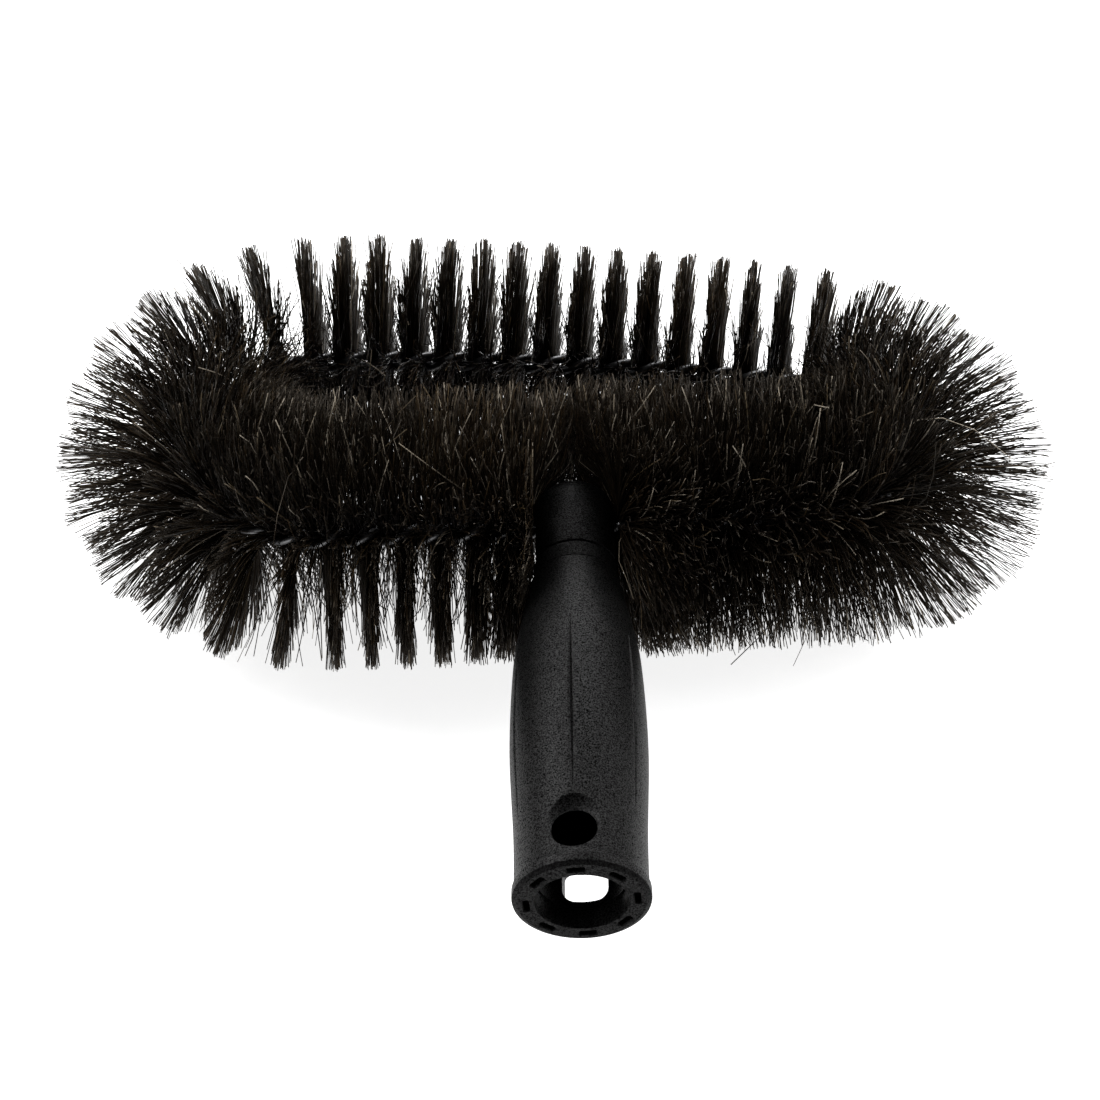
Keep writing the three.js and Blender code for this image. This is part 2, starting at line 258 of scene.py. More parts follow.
# How far hair strays from its line. A pair gives the amount where hair stands free, and what
# full crowding adds to it.
ROOT_TURN = (math.radians(4.5), math.radians(27))
MIDDLE_SHIFT = (0.0005, 0.0032)
TIP_SHIFT = (0.0008, 0.0021)
WAVE_SHIFT = (0.0003, 0.0005)
MIDDLE_TURN = math.radians(1.0)
TIP_TURN = (math.radians(2.2), math.radians(6))
WAVE_TURN = math.radians(0.8)

# Factors, and the share of pale hairs, partly real pale hair and partly painted glints, as pairs of
# the same kind.
TRIM_SCALE = (1, 1)
CLOSING_SCALE = (1, -0.85)
GATHER_SCALE = (1, -0.5)
LOCK_TURN_SCALE = (1, 1.6)
PALE_AND_GLINT_SHARE = (0.010, 0.030)

# Where hair is crowded: the two ends of a smooth step, from not at all to fully.
SIDE_NORMAL = (0.8, 0.95)
RAISED_FAR = (-0.2, 0.4)
INSIDE_CROWDED = (-0.05, 0.55)
BESIDE_SOCKET_X = (-0.005, 0.02)
BESIDE_SOCKET_CROWD = 0.9
STANDING = (0.65, 0.92)

# Hair at the socket and cap: pushed aside outside the loop, bent over the cap inside it.
INSIDE_LOOP = (-0.1, 0.5)
ASIDE_RIGHT = 0.011
ASIDE_LEFT = 0.003
ASIDE_POWER = 1.2
OVER_CAP = 0.025
OVER_CAP_REACH = 0.013
OVER_CAP_POWER = 0.6
BEND_RANGE = (0.4, 1.2)
PARTING_POWER = 10
PARTING_BLEND = (-0.004, 0.004)

# Colour and gloss of single hairs.
TONE_SHAPE = (1.4, 3.2)
TONE_SCALE = 0.9
FAN_TONE = 0.10
LOCK_TONE = 0.07
DARKEST_PALE = 0.95
PALEST_DARK = 0.93
# Strays are painted pale more often, as painted highlights where loose hairs catch the light.
STRAY_PALE_GLINT_SHARE = 0.20
GLOSSY_SHARE = 0.30
GLOSSY = (0.5, 1)
DULL = (0, 0.25)

# Colours, as darkest and palest tones, and for hair as stops from the darkest to the palest.
SOCKET_TONES = ((0.0009, 0.0009, 0.0010), (0.0022, 0.0022, 0.0021))
CORE_TONES = ((0.0012, 0.0012, 0.0012), (0.0026, 0.0026, 0.0026))
CAP_TONES = ((0.0008, 0.0008, 0.0008), (0.0020, 0.0020, 0.0020))
WIRE_TONES = ((0.07, 0.07, 0.072), (0.19, 0.19, 0.195))
ZINC_TONES = ((0.30, 0.31, 0.32), (0.50, 0.51, 0.52))
FLOOR_TONES = ((0.87, 0.87, 0.87), (0.90, 0.90, 0.90))
HAIR_TONES = [
    (0.0, (0.0034, 0.0023, 0.0013)),
    (0.45, (0.0110, 0.0072, 0.0038)),
    (0.70, (0.030, 0.0185, 0.0088)),
    (0.85, (0.058, 0.039, 0.019)),
    (0.96, (0.095, 0.070, 0.040)),
    # The palest stop is pale hair, and also painted glints.
    (1.0, (0.42, 0.37, 0.30)),
]

# The studio. The floor glows, as a lit photo table does. The surroundings' strength goes from
# the first value to the second as the direction's part towards the dark side rises.
FLOOR_HALF = 8.0
FLOOR_GLOW = 0.85
TOWARDS_DARK = Vector((0, -0.6, 0.8))
DARK_EDGES = (0.35, 0.90)
SURROUNDINGS = (0.50, 0.04)
LIGHT_AIM = (0, 0.03, 0)

# Each light's name, place, size and power.
LIGHTS = [
    ("key", (-0.9, 0.5, 1.05), (0.9, 0.9), 17),
    ("fill", (1.1, 0.3, 0.85), (0.8, 0.8), 9),
    ("back", (0.1, 1.2, 0.9), (1.2, 0.6), 12),
]
CAMERA_PLACE = (-0.0142, -0.3601, 0.4539)
CAMERA_YAW = math.radians(0.84)
CAMERA_PITCH = math.radians(46.43)
CAMERA_ROLL = math.radians(0.74)
CAMERA_LENS = 65.45
CAMERA_SENSOR = 36


# ---- Making meshes ----

def add_piece(name, mesh, material, stands_for):
    """Links a mesh as a piece of the object, with its body and material, and hides the CAD nodes it
    stands for.
    """
    piece = bpy.data.objects.new(name, mesh)
    bpy.context.scene.collection.objects.link(piece)
    mesh.materials.clear()
    mesh.materials.append(material)
    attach(piece, "root")
    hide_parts(*stands_for)


def full_turn(count):
    """Evenly spaced angles round a circle."""
    return np.linspace(0, 2 * math.pi, count, endpoint=False)


def grid_faces(rows, columns):
    """Quads of a grid of points that is closed round its columns."""
    row, column = np.meshgrid(np.arange(rows - 1), np.arange(columns), indexing="ij")
    here = row * columns + column
    beside = row * columns + (column + 1) % columns
    return np.stack([here, beside, beside + columns, here + columns], -1).reshape(-1, 4)


def turned_mesh(name, profile, angles):
    """A closed lathe mesh. profile gives (along, radius), its ends on the axis."""
    inner = profile[1:-1]
    ring = np.column_stack((np.sin(angles), np.cos(angles)))
    points = np.empty((len(inner), len(angles), 3))
    points[:, :, 0] = inner[:, 1, None] * ring[:, 0]
    points[:, :, 1] = MOUTH_Y + inner[:, 0, None]
    points[:, :, 2] = inner[:, 1, None] * ring[:, 1]
    count = len(angles)
    first, last = len(inner) * count, len(inner) * count + 1
    ends = [[0, MOUTH_Y + profile[0, 0], 0], [0, MOUTH_Y + profile[-1, 0], 0]]
    vertices = np.vstack([points.reshape(-1, 3), ends])
    faces = grid_faces(len(inner), count).tolist()
    base = (len(inner) - 1) * count
    for i in range(count):
        j = (i + 1) % count
        faces.append([first, j, i])
        faces.append([last, base + i, base + j])
    mesh = bpy.data.meshes.new(name)
    mesh.from_pydata(vertices.tolist(), [], faces)
    mesh.update()
    return mesh


def outward_normals(mesh):
    """Makes a closed mesh's faces look outwards."""
    work = bmesh.new()
    work.from_mesh(mesh)
    bmesh.ops.recalc_face_normals(work, faces=work.faces)
    work.to_mesh(mesh)
    work.free()


def prism_mesh(sections):
    """A closed prism through rings of points with the same count."""
    count = len(sections[0])
    vertices = np.vstack(sections)
    faces = grid_faces(len(sections), count).tolist()
    faces.append(list(range(count))[::-1])
    faces.append([len(vertices) - count + i for i in range(count)])
    mesh = bpy.data.meshes.new("cutter")
    mesh.from_pydata(vertices.tolist(), [], faces)
    outward_normals(mesh)
    return mesh


def cut(mesh, cutters):
    """mesh with the cutters' shapes taken away."""
    outward_normals(mesh)
    body = bpy.data.objects.new("body", mesh)
    bpy.context.scene.collection.objects.link(body)
    made = []
    for cutter in cutters:
        tool = bpy.data.objects.new("tool", cutter)
        bpy.context.scene.collection.objects.link(tool)
        made.append(tool)
        boolean = body.modifiers.new("cut", "BOOLEAN")
        boolean.solver = "EXACT"
        boolean.operation = "DIFFERENCE"
        boolean.object = tool
    bpy.context.view_layer.update()
    shape = bpy.data.meshes.new_from_object(
        body.evaluated_get(bpy.context.evaluated_depsgraph_get()))
    for extra in (body, *made):
        bpy.data.objects.remove(extra)
    return shape


def smooth(mesh, angle_deg):
    """Smooth shading, with edges sharper than the angle kept sharp."""
    mesh.shade_smooth()
    mesh.set_sharp_from_angle(angle=math.radians(angle_deg))
    return mesh


def spline(stations, steps):
    """A Catmull-Rom curve through the stations."""
    padded = np.vstack([stations[:1], stations, stations[-1:]])
    points = []
    for before, start, end, after in zip(padded, padded[1:], padded[2:], padded[3:]):
        t = np.linspace(0, 1, steps, endpoint=False)[:, None]
        tangent, next_tangent = (end - before) / 2, (after - start) / 2
        points.append(
            (2 * t**3 - 3 * t**2 + 1) * start + (t**3 - 2 * t**2 + t) * tangent
            + (3 * t**2 - 2 * t**3) * end + (t**3 - t**2) * next_tangent)
    return np.vstack([*points, stations[-1:]])


# ---- Materials ----

class Nodes:
    """Short ways to add nodes to a new material."""

    def __init__(self, name):
        self.material = bpy.data.materials.new(name)
        self.material.use_nodes = True
        self.tree = self.material.node_tree
        self.shader = self.tree.nodes["Principled BSDF"]
        coordinates = self.tree.nodes.new("ShaderNodeTexCoord")
        self.place = coordinates.outputs["Object"]

    def link(self, output, target):
        self.tree.links.new(output, target)

    def noise(self, scale, detail=3.0, roughness=0.5, stretch=(1, 1, 1)):
        mapping = self.tree.nodes.new("ShaderNodeMapping")
        mapping.inputs["Scale"].default_value = stretch
        self.link(self.place, mapping.inputs["Vector"])
        node = self.tree.nodes.new("ShaderNodeTexNoise")
        node.inputs["Scale"].default_value = scale
        node.inputs["Detail"].default_value = detail
        node.inputs["Roughness"].default_value = roughness
        self.link(mapping.outputs["Vector"], node.inputs["Vector"])
        return node.outputs["Fac"]

    def attribute(self, name):
        node = self.tree.nodes.new("ShaderNodeAttribute")
        node.attribute_name = name
        return node.outputs["Fac"]

    def ramp(self, value, stops):
        node = self.tree.nodes.new("ShaderNodeValToRGB")
        elements = node.color_ramp.elements
        while len(elements) < len(stops):
            elements.new(0.5)
        for element, (position, colour) in zip(elements, stops):
            element.position = position
            element.color = (*colour, 1)
        self.link(value, node.inputs["Fac"])
        return node.outputs["Color"]

    def multiply(self, first, second):
        node = self.tree.nodes.new("ShaderNodeMix")
        node.data_type = "RGBA"
        node.blend_type = "MULTIPLY"
        node.inputs["Factor"].default_value = 1
        self.link(first, node.inputs["A"])
        self.link(second, node.inputs["B"])
        return node.outputs["Result"]

    def span(self, value, low, high, start=0.0, end=1.0):
        node = self.tree.nodes.new("ShaderNodeMapRange")
        node.inputs["From Min"].default_value = start
        node.inputs["From Max"].default_value = end
        node.inputs["To Min"].default_value = low
        node.inputs["To Max"].default_value = high
        self.link(value, node.inputs["Value"])
        return node.outputs["Result"]

    def bump(self, height, strength, distance, normal=None):
        node = self.tree.nodes.new("ShaderNodeBump")
        node.inputs["Strength"].default_value = strength
        node.inputs["Distance"].default_value = distance
        self.link(height, node.inputs["Height"])
        if normal is not None:
            self.link(normal, node.inputs["Normal"])
        return node.outputs["Normal"]


def grey(level):
    return (level,) * 3


def moulded_plastic(name, tones, roughness, gloss):
    """Black plastic from a spark-eroded mould: fine grain, faint streaks and rubbed patches."""
    dark, pale = tones
    nodes = Nodes(name)
    grain = nodes.noise(scale=2200, detail=3, roughness=0.7)
    cloud = nodes.noise(scale=60, detail=5, roughness=0.6)
    colour = nodes.multiply(nodes.ramp(cloud, [(0.3, dark), (0.75, pale)]),
                            nodes.ramp(grain, [(0.35, grey(0.35)), (0.66, grey(2.0))]))
    nodes.link(colour, nodes.shader.inputs["Base Color"])
    nodes.link(nodes.span(grain, *roughness), nodes.shader.inputs["Roughness"])
    scuff = nodes.noise(scale=400, detail=2, roughness=0.5, stretch=(1, 0.08, 1))
    grained = nodes.bump(grain, strength=0.6, distance=0.00014)
    scuffed = nodes.bump(scuff, strength=0.12, distance=0.00015, normal=grained)
    nodes.link(scuffed, nodes.shader.inputs["Normal"])
    sheen = nodes.span(grain, low=0.0, high=gloss, start=0.40, end=0.62)
    nodes.link(sheen, nodes.shader.inputs["Specular IOR Level"])
    return nodes.material


def drawn_steel(name, tones, roughness):
    """Bare metal: drawing marks, dull spots and a little uneven gloss."""
    dark, pale = tones
    nodes = Nodes(name)
    patches = nodes.noise(scale=300, detail=5, roughness=0.65)
    colour = nodes.ramp(patches, [(0.3, dark), (0.7, pale)])
    nodes.link(colour, nodes.shader.inputs["Base Color"])
    nodes.link(nodes.span(patches, *roughness), nodes.shader.inputs["Roughness"])
    marks = nodes.noise(scale=1800, detail=2)
    marked = nodes.bump(marks, strength=0.15, distance=0.0001)
    nodes.link(marked, nodes.shader.inputs["Normal"])
    nodes.shader.inputs["Metallic"].default_value = 1
    return nodes.material


def horsehair(name):
    """Natural hair: mostly black, some brown and olive hairs, and a few pale ones, partly real pale
    hair and partly painted glints.
    """
    nodes = Nodes(name)
    colour = nodes.ramp(nodes.attribute("tone"), HAIR_TONES)
    bands = nodes.noise(scale=900, detail=2)
    shade = nodes.ramp(bands, [(0.3, grey(0.55)), (0.7, grey(1.3))])
    nodes.link(nodes.multiply(colour, shade), nodes.shader.inputs["Base Color"])
    gloss = nodes.attribute("gloss")
    nodes.link(nodes.span(gloss, low=0.55, high=0.26), nodes.shader.inputs["Roughness"])
    sheen = nodes.span(gloss, low=0.08, high=0.70)
    nodes.link(sheen, nodes.shader.inputs["Specular IOR Level"])
    warm = (1.0, 0.86, 0.70, 1)
    nodes.shader.inputs["Specular Tint"].default_value = warm
    return nodes.material


def studio_floor():
    """A pale matt sheet with a very faint tooth, lit from below."""
    nodes = Nodes("pale_floor")
    dark, pale = FLOOR_TONES
    tooth = nodes.noise(scale=900, detail=2)
    colour = nodes.ramp(tooth, [(0.2, dark), (0.8, pale)])
    nodes.link(colour, nodes.shader.inputs["Base Color"])
    nodes.shader.inputs["Roughness"].default_value = 0.9
    nodes.shader.inputs["Specular IOR Level"].default_value = 0.1
    nodes.shader.inputs["Emission Color"].default_value = (1, 1, 1, 1)
    nodes.shader.inputs["Emission Strength"].default_value = FLOOR_GLOW
    return nodes.material


# ---- The socket, core and cap ----

def barrel_profile():
    return spline(BARREL_STATIONS, STATION_STEPS)


def socket_angles(flute_angles):
    """Angles of the lathe's columns, closer together across the flutes and the front dish."""
    barrel_radius = BARREL_STATIONS[:, 1].max()
    flute = np.linspace(-FLUTE_COLUMNS_REACH, FLUTE_COLUMNS_REACH, FLUTE_COLUMNS) / barrel_radius
    across_dish = np.linspace(-DISH_COLUMNS_REACH, DISH_COLUMNS_REACH, DISH_COLUMNS)
    dish = SOCKET_TURN + across_dish * DISH_HALF_WIDTH / barrel_radius
    angles = np.concatenate([
        full_turn(SOCKET_COLUMNS),
        (flute_angles[:, None] + flute).ravel(),
        dish,
    ])
    angles = np.unique(np.round(angles % (2 * math.pi), 6))
    return angles[np.diff(angles, prepend=-1) > CLOSEST_COLUMNS]


def socket_profile():
    """The barrel's outside has closer points beside the front dish than further up."""
    barrel = barrel_profile()
    dish_end = DISH_ALONG + DISH_ROWS_REACH * DISH_HALF_LENGTH
    beside_dish = np.arange(BARREL_STATIONS[0, 0], dish_end, DISH_ROW_STEP)
    low = np.column_stack((beside_dish, np.interp(beside_dish, barrel[:, 0], barrel[:, 1])))
    high = barrel[(barrel[:, 0] > beside_dish[-1] + EDGE_EASE)
                  & (barrel[:, 0] < SOCKET_TOP - EDGE_EASE)]
    top_radius = BARREL_STATIONS[-1, 1]
    return np.vstack([
        [[POLE_DEPTH, 0], [POLE_DEPTH, SEAT_RADIUS]],
        [[STEP_DEPTH, BORE_RADIUS], [STEP_DEPTH, STEP_RADIUS]],
        [[MOUTH_CHAMFER - RING_PROUD, STEP_RADIUS], [-RING_PROUD, MOUTH_RADIUS]],
        [[-RING_PROUD, RING_OUTER_RADIUS], [-EDGE_EASE / 2, LIP_RADIUS - EDGE_EASE]],
        [[0, LIP_RADIUS - EDGE_EASE / 4], [EDGE_EASE, LIP_RADIUS]],
        [[LIP_LENGTH, LIP_RADIUS], [LIP_LENGTH + EDGE_EASE, LIP_RADIUS - EDGE_EASE]],
        low,
        high,
        [[SOCKET_TOP - EDGE_EASE / 2, top_radius - EDGE_EASE / 2]],
        [[SOCKET_TOP, top_radius - 1.5 * EDGE_EASE], [SOCKET_TOP, CHAMBER_RADIUS]],
        [[POLE_DEPTH + SEAT_WEB, CHAMBER_RADIUS], [POLE_DEPTH + SEAT_WEB, 0]],
    ])


def socket_piece():
    flute_angles = SOCKET_TURN + 2 * math.pi * np.arange(FLUTE_COUNT) / FLUTE_COUNT
    mesh = turned_mesh("socket", socket_profile(), socket_angles(flute_angles))
    press_in(mesh, lambda along, angle, radius: np.maximum(
        flute_press(along, angle, radius, flute_angles), dish_press(along, angle, radius)))
    shape = cut(mesh, [*front_hole_cutters(), rear_hole_cutter(), *pocket_cutters()])
    black = moulded_plastic("socket_black", SOCKET_TONES, roughness=(0.34, 0.52), gloss=0.27)
    add_piece("socket_shell", smooth(shape, SOCKET_SHARP_DEG), black,
              ["socket_body"])

    # The end faces at the mouth are duller than the barrel.
    dull = moulded_plastic("mouth_black", SOCKET_TONES, roughness=(0.40, 0.60), gloss=0.11)
    shape.materials.append(dull)
    for face in shape.polygons:
        if face.normal.y < MOUTH_FACING:
            face.material_index = 1


def press_in(mesh, depth_at):
    """Pushes the socket's outer skin in by the depth given for (along, angle, radius)."""
    co = np.empty(len(mesh.vertices) * 3)
    mesh.vertices.foreach_get("co", co)
    co = co.reshape(-1, 3)
    radius = np.hypot(co[:, 0], co[:, 2])
    angle = np.arctan2(co[:, 0], co[:, 2])
    along = co[:, 1] - MOUTH_Y
    skin = (along > LIP_LENGTH) & (radius > (RING_OUTER_RADIUS + MOUTH_RADIUS) / 2)
    push = np.where(skin, depth_at(along, angle, radius), 0)
    co[:, [0, 2]] *= (1 - push / np.maximum(radius, TINY))[:, None]
    mesh.vertices.foreach_set("co", co.ravel())
    mesh.update()


def arc_distance(angle, middle, radius):
    """Distance round the socket from a line along it, with its sign."""
    return ((angle - middle + math.pi) % (2 * math.pi) - math.pi) * radius


def flute_press(along, angle, radius, flute_angles):
    """Long creases, steeper on one side, that fade out at both ends."""
    share = (along - FLUTE_MIDDLE) / FLUTE_HALF_LENGTH
    depth = FLUTE_DEPTH * np.clip(1 - share**2, 0, 1) ** FLUTE_FADE
    half_width = FLUTE_HALF_WIDTH * np.sqrt(np.clip(1 - share**2, TINY, 1))
    push = np.zeros(len(along))
    for flute in flute_angles:
        across = arc_distance(angle, flute, radius)
        across *= np.where(across > 0, FLUTE_STEEP_SIDE, FLUTE_GENTLE_SIDE)
        nearness = np.clip(1 - np.abs(across) / half_width, 0, 1)
        push = np.maximum(push, depth * nearness**FLUTE_SHARPNESS)
    return push


def dish_press(along, angle, radius):
    """The shallow dish round the front hole, longer towards the loop."""
    share = np.hypot(arc_distance(angle, SOCKET_TURN, radius) / DISH_HALF_WIDTH,
                     (along - DISH_ALONG) / DISH_HALF_LENGTH)
    return DISH_DEPTH * (1 - np.clip(share, 0, 1) ** DISH_FULLNESS)


def turned_about_socket(points, angle):
    """Points turned about the socket's axis. Angle 0 leaves +Z where it is."""
    turn = np.array(Matrix.Rotation(angle, 3, "Y"))
    return points @ turn.T


def radial_prism(outlines, heights, along, turn):
    """A cutter out from the socket's axis. Each outline is drawn across and along the socket."""
    return prism_mesh([
        turned_about_socket(
            np.column_stack((outline[:, 0], MOUTH_Y + along + outline[:, 1],
                             np.full(len(outline), height))), turn)
        for outline, height in zip(outlines, heights)
    ])


def circle(radius):
    around = full_turn(HOLE_SIDES)
    return radius * np.column_stack((np.cos(around), np.sin(around)))


def rounded_rectangle(half_width, half_length, corner_radius, points_per_corner):
    turn = np.linspace(0, math.pi / 2, points_per_corner)
    corners = []
    for quarter, (side_x, side_y) in enumerate(((1, 1), (-1, 1), (-1, -1), (1, -1))):
        centre = np.array([side_x * (half_width - corner_radius),
                           side_y * (half_length - corner_radius)])
        angle = turn + quarter * math.pi / 2
        corners.append(centre + corner_radius * np.column_stack((np.cos(angle), np.sin(angle))))
    return np.vstack(corners)


def front_hole_cutters():
    """A round hole with an eased rim, and a wider relief behind its wall."""
    rim = FRONT_RELIEF_TOP + FRONT_HOLE_WALL
    hole = radial_prism(
        [circle(FRONT_HOLE_RADIUS), circle(FRONT_HOLE_RADIUS),
         circle(FRONT_HOLE_RADIUS + EDGE_EASE), circle(FRONT_HOLE_RADIUS + 2 * EDGE_EASE)],
        [BORE_RADIUS / 2, rim, rim + EDGE_EASE, CUTTER_TOP], FRONT_HOLE_ALONG, SOCKET_TURN)
    relief = radial_prism([circle(FRONT_RELIEF_RADIUS)] * 2, [BORE_RADIUS / 2, FRONT_RELIEF_TOP],
                          FRONT_RELIEF_ALONG, SOCKET_TURN)
    return [relief, hole]


def rear_hole_cutter():
    outline = rounded_rectangle(REAR_HOLE_HALF_WIDTH, REAR_HOLE_HALF_LENGTH, REAR_HOLE_CORNER,
                                REAR_CORNER_POINTS)
    return radial_prism([outline] * 2, [BORE_RADIUS / 2, CUTTER_TOP], REAR_HOLE_ALONG,
                        SOCKET_TURN + math.pi)


def pocket_cutters():
    """Small moulded pockets in the socket's end ring, with eased edges."""
    outline = rounded_rectangle(POCKET_HALF_WIDTH, POCKET_HALF_THICKNESS, POCKET_CORNER,
                                POCKET_CORNER_POINTS)
    half_size = np.array([POCKET_HALF_WIDTH, POCKET_HALF_THICKNESS])
    steps = ((-CUTTER_END, POCKET_EASE), (0.0, POCKET_EASE), (POCKET_EASE, 0.0),
             (POCKET_DEPTH, -POCKET_TAPER))
    cutters = []
    for index in range(POCKET_COUNT):
        angle = SOCKET_TURN + 2 * math.pi * index / POCKET_COUNT
        sections = []
        for depth, grow in steps:
            flat = outline * (1 + grow / half_size)
            ring = np.column_stack((flat[:, 0],
                                    np.full(len(flat), MOUTH_Y - RING_PROUD + depth),
                                    POCKET_RING_RADIUS + flat[:, 1]))
            sections.append(turned_about_socket(ring, angle))
        cutters.append(prism_mesh(sections))
    return cutters


def slot_ring(half_spacing, radius, along):
    """A ring of points round two half circles joined by straight sides, wide along X."""
    half = np.linspace(-math.pi / 2, math.pi / 2, CHANNEL_ARC_POINTS)
    right = np.column_stack((half_spacing + radius * np.cos(half), radius * np.sin(half)))
    ring = np.vstack([right, -right])
    return np.column_stack((ring[:, 0], np.full(len(ring), MOUTH_Y + along), ring[:, 1]))


def core_piece():
    profile = np.array([
        [CORE_BOTTOM, 0],
        [CORE_BOTTOM, CHAMBER_RADIUS - FIT_GAP],
        [SOCKET_TOP + FIT_GAP, CHAMBER_RADIUS - FIT_GAP],
        [SOCKET_TOP + FIT_GAP, NECK_RADIUS - FIT_GAP],
        [SOCKET_TOP + 2 * FIT_GAP, NECK_RADIUS],
        [CAP_BOTTOM - 2 * FIT_GAP, NECK_RADIUS],
        [CAP_BOTTOM - FIT_GAP, NECK_RADIUS - FIT_GAP],
        [CAP_BOTTOM - FIT_GAP, BOSS_RADIUS],
        [CORE_TOP, BOSS_RADIUS],
        [CORE_TOP, 0],
    ])
    mesh = turned_mesh("core", profile, full_turn(CORE_COLUMNS))
    channel = prism_mesh([slot_ring(TAIL_OFFSET, CHANNEL_RADIUS, along)
                          for along in (CORE_BOTTOM - CUTTER_END, CORE_TOP + CUTTER_END)])
    shape = smooth(cut(mesh, [channel]), PLUG_SHARP_DEG)
    black = moulded_plastic("core_black", CORE_TONES, roughness=(0.50, 0.70), gloss=0.22)
    add_piece("core_plug", shape, black, ["wire_core"])


def cap_piece():
    dome_turn = np.linspace(0, math.pi / 2, CAP_DOME_POINTS)
    dome = np.column_stack((
        CAP_DOME_START + (CAP_TOP - CAP_DOME_START) * np.sin(dome_turn),
        CAP_RADIUS * np.cos(dome_turn) ** CAP_DOME_FULLNESS))
    dome[-1, 1] = 0
    profile = np.vstack([
        [[CAP_CAVITY_TOP, 0], [CAP_CAVITY_TOP, BOSS_RADIUS + FIT_GAP]],
        [[CAP_BOTTOM, BOSS_RADIUS + FIT_GAP], [CAP_BOTTOM, CAP_RADIUS - EDGE_EASE]],
        [[CAP_BOTTOM + EDGE_EASE / 3, CAP_RADIUS - EDGE_EASE / 3]],
        [[CAP_BOTTOM + EDGE_EASE, CAP_RADIUS]],
        dome,
    ])
    mesh = turned_mesh("cap", profile, full_turn(CAP_COLUMNS))
    arch = np.linspace(0, math.pi, CAP_PORT_POINTS)
    outline = np.vstack([
        [[CHANNEL_RADIUS, CAP_BOTTOM - CUTTER_END]],
        np.column_stack((CHANNEL_RADIUS * np.cos(arch),
                         CAP_PORT_CENTRE + CHANNEL_RADIUS * np.sin(arch))),
        [[-CHANNEL_RADIUS, CAP_BOTTOM - CUTTER_END]],
    ])
    port = prism_mesh([
        np.column_stack((np.full(len(outline), x), MOUTH_Y + outline[:, 1], outline[:, 0]))
        for x in (-2 * CAP_RADIUS, 2 * CAP_RADIUS)
    ])
    shape = smooth(cut(mesh, [port]), PLUG_SHARP_DEG)
    black = moulded_plastic("cap_black", CAP_TONES, roughness=(0.38, 0.56), gloss=0.25)
    add_piece("cap_shell", shape, black, ["nose_cap"])


# ---- The stem's path ----

NEAR_SLOPE = math.asin((LEFT_RADIUS - RIGHT_RADIUS) / (RIGHT_X - LEFT_X))
NEAR_NORMAL = np.array([-math.sin(NEAR_SLOPE), math.cos(NEAR_SLOPE)])


def tail_bend_centre(x):
    near_side = NEAR_NORMAL @ [LEFT_X, LOOP_MIDDLE_Y] - LEFT_RADIUS
    return np.array([x, (near_side - TAIL_BEND_RADIUS - NEAR_NORMAL[0] * x) / NEAR_NORMAL[1]])


def arc(centre, radius, start, end):
    """Points along an arc in the XY plane, from one angle to another."""
    count = int(abs(end - start) * radius / PATH_STEP) + 2
    angles = np.linspace(start, end, count)
    return centre + radius * np.column_stack((np.cos(angles), np.sin(angles)))


class Stem:
    """The line midway between the two strands, by distance from its left tail's end."""

    def __init__(self):
        to_left = FAR_SIDE_RADIUS - LEFT_RADIUS
        to_right = FAR_SIDE_RADIUS - RIGHT_RADIUS
        span = RIGHT_X - LEFT_X
        far_x = LEFT_X + (to_left**2 - to_right**2 + span**2) / (2 * span)
        far = np.array([far_x, LOOP_MIDDLE_Y - math.sqrt(to_left**2 - (far_x - LEFT_X) ** 2)])
        far_start = math.atan2(LOOP_MIDDLE_Y - far[1], LEFT_X - far[0])
        far_end = math.atan2(LOOP_MIDDLE_Y - far[1], RIGHT_X - far[0])
        near_angle = NEAR_SLOPE - math.pi / 2
        bend_end = NEAR_SLOPE + math.pi / 2
        left_bend = tail_bend_centre(-TAIL_OFFSET - TAIL_BEND_RADIUS)
        right_bend = tail_bend_centre(TAIL_OFFSET + TAIL_BEND_RADIUS)
        corners = np.vstack([
            [[-TAIL_OFFSET, TAIL_END_Y]],
            arc(left_bend, TAIL_BEND_RADIUS, 0, bend_end),
            arc([LEFT_X, LOOP_MIDDLE_Y], LEFT_RADIUS, near_angle, far_start - 2 * math.pi),
            arc(far, FAR_SIDE_RADIUS, far_start, far_end),
            arc([RIGHT_X, LOOP_MIDDLE_Y], RIGHT_RADIUS, far_end, near_angle),
            arc(right_bend, TAIL_BEND_RADIUS, bend_end, math.pi),
            [[TAIL_OFFSET, TAIL_END_Y]],
        ])
        steps = np.hypot(*np.diff(corners, axis=0).T)
        keep = np.concatenate([[True], steps > TINY])
        corners = corners[keep]
        travelled = np.concatenate([[0], np.cumsum(np.hypot(*np.diff(corners, axis=0).T))])
        self.length = travelled[-1]
        self.distances = np.arange(0, self.length, PATH_STEP)
        self.points = np.column_stack(
            [np.interp(self.distances, travelled, corners[:, i]) for i in (0, 1)])
        tangents = np.gradient(self.points, axis=0)
        self.tangents = tangents / np.hypot(*tangents.T)[:, None]

    def at(self, distance):
        """Centre, tangent and inward normal at each distance, as rows of three numbers."""
        zero = np.zeros(len(distance))
        centre, tangent = (
            np.column_stack([*(np.interp(distance, self.distances, rows[:, i]) for i in (0, 1)),
                             zero])
            for rows in (self.points, self.tangents))
        tangent /= np.linalg.norm(tangent, axis=1)[:, None]
        inward = np.column_stack((tangent[:, 1], -tangent[:, 0], zero))
        return centre, tangent, inward


def hair_angle(distance):
    """Which way hair leaves the stem there, from the inward normal towards +Z."""
    return TWIST_START + 2 * math.pi * distance / TWIST_PITCH


